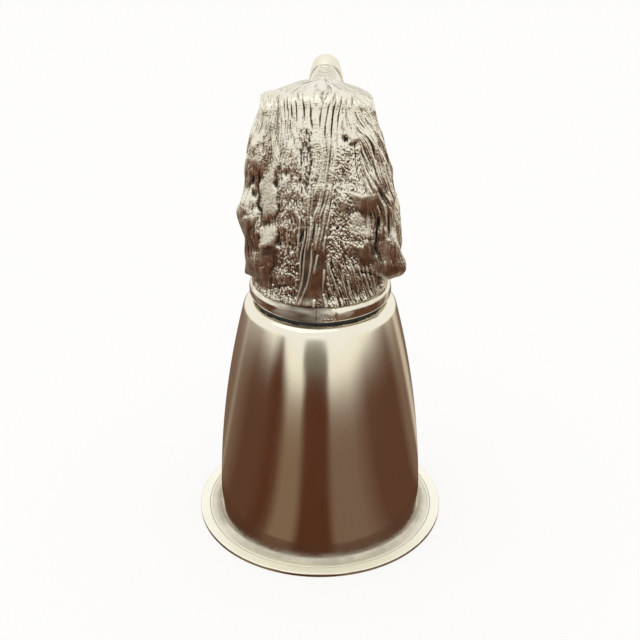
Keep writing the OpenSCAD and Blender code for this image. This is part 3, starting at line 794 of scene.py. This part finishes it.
def polished_metal(name, colour, low, high):
    mat, n, link, shader = principled(name)
    place = n.new("ShaderNodeTexCoord")
    smudge = n.new("ShaderNodeTexNoise")
    smudge.inputs["Scale"].default_value = 60.0
    smudge.inputs["Detail"].default_value = 6.0
    link.new(place.outputs["Object"], smudge.inputs["Vector"])
    rough = ramp(n, [(0.35, grey(low)), (0.7, grey(high))])
    link.new(smudge.outputs["Fac"], rough.inputs["Fac"])
    wear_and_painted_light = wear_and_painted_light_node(n)
    colours = ramp(n, [(0, TARNISH_AND_SHADE), (1, colour)])
    link.new(wear_and_painted_light.outputs["Fac"], colours.inputs["Fac"])
    dull = ramp(n, [(0.6, grey(0.62)), (0.97, grey(0.0))])
    link.new(wear_and_painted_light.outputs["Fac"], dull.inputs["Fac"])
    either = math_node(n, "MAXIMUM")
    link.new(rough.outputs["Color"], either.inputs[0])
    link.new(dull.outputs["Color"], either.inputs[1])
    link.new(either.outputs[0], shader.inputs["Roughness"])
    link.new(colours.outputs["Color"], shader.inputs["Base Color"])
    shader.inputs["Metallic"].default_value = 1.0
    return mat


def plain_metal(name, colour, roughness):
    mat, _, _, shader = principled(name)
    shader.inputs["Base Color"].default_value = (*colour, 1)
    shader.inputs["Roughness"].default_value = roughness
    shader.inputs["Metallic"].default_value = 1.0
    return mat


antique = cast_metal("antique_pewter")
bright = polished_metal("satin_pewter", (0.86, 0.83, 0.72), 0.09, 0.16)
# The rim band is the same pewter made paler: painted light on the flange, with a satin roughness
satin = polished_metal("rim_pewter_with_painted_light", (0.97, 0.96, 0.86), 0.36, 0.48)
dark = plain_metal("blackened_pewter_and_shade", (0.05, 0.052, 0.06), 0.45)


def paint(obj, mat):
    obj.data.materials.clear()
    obj.data.materials.append(mat)


lap_from = LAP_PLACE - LAP_ANGLE / 2 - 90
for piece, stands_for, mat, slot in (
        (nape(), "nape_casting", antique, "antique_metal"),
        (face(), "face_casting", antique, "antique_metal"),
        (ear("ear_left", LEFT_KEYS, LEFT_CURLS, -1), "left_ear", antique, "antique_metal"),
        (ear("ear_right", RIGHT_KEYS, RIGHT_CURLS, 1), "right_ear", antique, "antique_metal"),
        (bowl(), "bowl", bright, "polished_metal"),
        (rim_band(), "rim_band", satin, "polished_metal"),
        (strap("collar_strap", lap_from + LAP_ANGLE, 360 - LAP_ANGLE, 240, 0, 0.04),
         "collar", bright, "polished_metal"),
        (strap("collar_joint", lap_from, LAP_ANGLE, 60, LAP_PROUD, 0.2),
         "collar_lap", bright, "polished_metal")):
    paint(piece, mat)
    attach(piece, "root")
    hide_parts(stands_for)
# The seat in the gap under the collar is near black: grime, and painted shade in the gap
paint(nodes["neck_seat"], dark)


# Stage: pale floor, a brown table top that only the metal sees, soft light and the camera

def white_share(mat, share):
    """Shows a surface partly as plain white to the camera and in reflections."""
    n, link = mat.node_tree.nodes, mat.node_tree.links
    path = n.new("ShaderNodeLightPath")
    either = math_node(n, "MAXIMUM")
    any_ray = math_node(n, "MAXIMUM")
    scaled = math_node(n, "MULTIPLY", share)
    white = n.new("ShaderNodeEmission")
    blend = n.new("ShaderNodeMixShader")
    link.new(path.outputs["Is Camera Ray"], either.inputs[0])
    link.new(path.outputs["Is Glossy Ray"], either.inputs[1])
    link.new(either.outputs[0], any_ray.inputs[0])
    link.new(path.outputs["Is Transmission Ray"], any_ray.inputs[1])
    link.new(any_ray.outputs[0], scaled.inputs[0])
    link.new(scaled.outputs[0], blend.inputs["Fac"])
    link.new(n["Principled BSDF"].outputs[0], blend.inputs[1])
    link.new(white.outputs[0], blend.inputs[2])
    link.new(blend.outputs[0], n["Material Output"].inputs["Surface"])


def stage_object(name, verts, faces):
    mesh = bpy.data.meshes.new(name)
    mesh.from_pydata(verts, [], faces)
    obj = bpy.data.objects.new(name, mesh)
    bpy.context.collection.objects.link(obj)
    return obj


def matte(name, colour):
    mat, _, _, shader = principled(name)
    shader.inputs["Base Color"].default_value = (*colour, 1)
    shader.inputs["Roughness"].default_value = 0.9
    return mat


def bare_material(name):
    """Material with nothing but its output."""
    mat = bpy.data.materials.new(name)
    mat.use_nodes = True
    n, link = mat.node_tree.nodes, mat.node_tree.links
    n.remove(n["Principled BSDF"])
    return mat, n, link


def table_glow(name, stops, near, far, far_colour):
    """Table as the metal sees it: sectors round the cup that fade with distance, each at its own rate."""
    mat, n, link = bare_material(name)
    place = n.new("ShaderNodeTexCoord")
    axes = n.new("ShaderNodeSeparateXYZ")
    angle = math_node(n, "ARCTAN2")
    turn = n.new("ShaderNodeMapRange")
    turn.inputs["From Min"].default_value = -math.pi
    turn.inputs["From Max"].default_value = math.pi
    flip = math_node(n, "MULTIPLY", -1.0)
    reach = n.new("ShaderNodeVectorMath")
    reach.operation = "LENGTH"
    fade = n.new("ShaderNodeMapRange")
    fade.interpolation_type = "SMOOTHSTEP"
    fade.inputs["From Min"].default_value = near
    fade.inputs["From Max"].default_value = far
    sectors = ramp(n, stops)
    rate = math_node(n, "MULTIPLY")
    blend = n.new("ShaderNodeMix")
    blend.data_type = "RGBA"
    blend.inputs[7].default_value = (*far_colour, 1)
    glow = n.new("ShaderNodeEmission")
    facing = n.new("ShaderNodeNewGeometry")
    clear = n.new("ShaderNodeBsdfTransparent")
    one_sided = n.new("ShaderNodeMixShader")
    link.new(facing.outputs["Backfacing"], one_sided.inputs["Fac"])
    link.new(glow.outputs[0], one_sided.inputs[1])
    link.new(clear.outputs[0], one_sided.inputs[2])
    link.new(place.outputs["Object"], axes.inputs[0])
    link.new(place.outputs["Object"], reach.inputs[0])
    link.new(axes.outputs["Y"], flip.inputs[0])
    link.new(axes.outputs["X"], angle.inputs[0])
    link.new(flip.outputs[0], angle.inputs[1])
    link.new(angle.outputs[0], turn.inputs["Value"])
    link.new(turn.outputs[0], sectors.inputs["Fac"])
    link.new(reach.outputs["Value"], rate.inputs[0])
    link.new(sectors.outputs["Alpha"], rate.inputs[1])
    link.new(rate.outputs[0], fade.inputs["Value"])
    link.new(fade.outputs[0], blend.inputs[0])
    link.new(sectors.outputs["Color"], blend.inputs[6])
    link.new(blend.outputs[2], glow.inputs["Color"])
    link.new(one_sided.outputs[0], n["Material Output"].inputs["Surface"])
    return mat


def only_reflected(obj):
    obj.visible_camera = obj.visible_diffuse = obj.visible_shadow = obj.visible_transmission = False


floor = stage_object("floor", [(-3, -3, 0), (3, -3, 0), (3, 3, 0), (-3, 3, 0)], [(0, 1, 2, 3)])
floor_mat = matte("pale_floor", (0.9, 0.9, 0.9))
white_share(floor_mat, 0.75)
paint(floor, floor_mat)

# The table top as reflections see it: a wide ring round the cup. A narrow dark ring just over the flange is
# painted reflection, which the foot of the wall mirrors in place of the flange
RING = [(math.cos(2 * math.pi * i / 96), math.sin(2 * math.pi * i / 96)) for i in range(96)]


def table_ring(name, inner, outer, z):
    count = len(RING)
    return stage_object(name, [(r * c, r * k, z) for r in (inner, outer) for c, k in RING],
                        [(i, count + i, count + (i + 1) % count, (i + 1) % count) for i in range(count)])


# Colours of the table, each with the rate at which it fades with distance
BROWN = (0.1, 0.034, 0.017, 0.14)
UMBER = (0.12, 0.052, 0.03, 0.6)
DUN = (0.2, 0.125, 0.085, 0.9)
BEIGE = (0.23, 0.148, 0.093, 1.0)
PALE = (0.6, 0.5, 0.4, 1.0)
STREAK = (0.33, 0.26, 0.2, 1.0)
NEAR = (0.095, 0.042, 0.025, 1.0)
FADE_NEAR, FADE_FAR = 0.1, 0.6
# Sectors by degrees from the camera's side towards the right
SECTORS = [(0.5 + degrees / 360, colour) for degrees, colour in (
    (-172, PALE), (-150, DUN), (-120, DUN), (-114, STREAK), (-108, DUN), (-84, UMBER), (-62, UMBER),
    (-48, BROWN), (-41, UMBER), (-33, BEIGE), (-19, BEIGE), (-12, BROWN), (9, BROWN), (15, DUN),
    (38, DUN), (60, UMBER), (100, UMBER), (112, DUN), (124, DUN), (130, PALE), (137, PALE),
    (145, DUN), (170, DUN))]
table = table_ring("table", 0.0346, 2.0, 0.0001)
paint(table, table_glow("brown_table", SECTORS, FADE_NEAR, FADE_FAR, (1.0, 0.95, 0.82)))
only_reflected(table)
# Painted reflection: a dark sheet over the flange, seen only by the metal
flange_shade_sheet = table_ring("shade_sheet_over_flange", 0.0303, 0.0347, 0.00135)
near_sectors = [(place, tuple(mix(np.array(colour), np.array(NEAR), 0.6))) for place, colour in SECTORS]
paint(flange_shade_sheet, table_glow("flange_shade_sheet", near_sectors, FADE_NEAR, FADE_FAR, NEAR[:3]))
only_reflected(flange_shade_sheet)


def card_glow(name, stops, height):
    """Glow of an upright card by height."""
    mat, n, link = bare_material(name)
    place = n.new("ShaderNodeTexCoord")
    axes = n.new("ShaderNodeSeparateXYZ")
    share = math_node(n, "DIVIDE", height)
    colours = ramp(n, stops)
    glow = n.new("ShaderNodeEmission")
    link.new(place.outputs["Object"], axes.inputs[0])
    link.new(axes.outputs["Z"], share.inputs[0])
    link.new(share.outputs[0], colours.inputs["Fac"])
    link.new(colours.outputs["Color"], glow.inputs["Color"])
    link.new(glow.outputs[0], n["Material Output"].inputs["Surface"])
    return mat


# Low grey flag with a round top on the camera's side, which only reflections see
FLAG_LEFT, FLAG_RIGHT, FLAG_Y, FLAG_H = -0.2, 0.14, -0.6, 0.072
FLAG_STOPS = [(0.3, (0.16, 0.14, 0.1)), (0.7, (0.21, 0.18, 0.13)), (1, (0.26, 0.19, 0.14))]
FLAG_MID, FLAG_HALF = (FLAG_LEFT + FLAG_RIGHT) / 2, (FLAG_RIGHT - FLAG_LEFT) / 2
dome = [(FLAG_MID + FLAG_HALF * c, FLAG_Y, FLAG_H / 2 * (1 + k)) for c, k in RING[:49]]
flag = stage_object("flag", [(FLAG_LEFT, FLAG_Y, 0), (FLAG_RIGHT, FLAG_Y, 0), *dome], [tuple(range(51))])
paint(flag, card_glow("grey_flag", FLAG_STOPS, FLAG_H))
only_reflected(flag)

world = bpy.data.worlds.new("studio")
bpy.context.scene.world = world
world.use_nodes = True
background = world.node_tree.nodes["Background"]
background.inputs["Color"].default_value = (1, 0.98, 0.94, 1)
background.inputs["Strength"].default_value = 1.0


def softbox(name, size, energy, location):
    """Area light that faces the middle of the cup."""
    light = bpy.data.lights.new(name, "AREA")
    light.shape = "RECTANGLE"
    light.size, light.size_y = size
    light.energy = energy
    obj = bpy.data.objects.new(name, light)
    obj.location = location
    aim = np.array((0, 0, 0.06)) - np.array(location)
    yaw, pitch = math.atan2(aim[0], -aim[1]), math.atan2(math.hypot(aim[0], aim[1]), -aim[2])
    obj.rotation_euler = (pitch, 0, yaw + math.pi)
    bpy.context.collection.objects.link(obj)


softbox("key", (0.8, 0.8), 0.6, (-0.2, -0.1, 0.9))

# Camera: fitted to the outlines of the rim, the wall and the collar
CAMERA_AZIMUTH, CAMERA_REACH, CAMERA_Z, CAMERA_PITCH, CAMERA_FOCUS = 3.0, 0.262, 0.1908, 26.75, 1095.0
PHOTO_SIDE = 640
camera = bpy.data.cameras.new("camera")
camera.sensor_width = 36.0
camera.lens = CAMERA_FOCUS * camera.sensor_width / PHOTO_SIDE
camera.clip_start = 0.01
camera_obj = bpy.data.objects.new("camera", camera)
heading = math.radians(CAMERA_AZIMUTH)
camera_obj.location = (CAMERA_REACH * math.sin(heading), -CAMERA_REACH * math.cos(heading), CAMERA_Z)
camera_obj.rotation_euler = (math.radians(90 - CAMERA_PITCH), 0, heading)
bpy.context.collection.objects.link(camera_obj)
bpy.context.scene.camera = camera_obj
bpy.context.scene.view_settings.view_transform = "Standard"
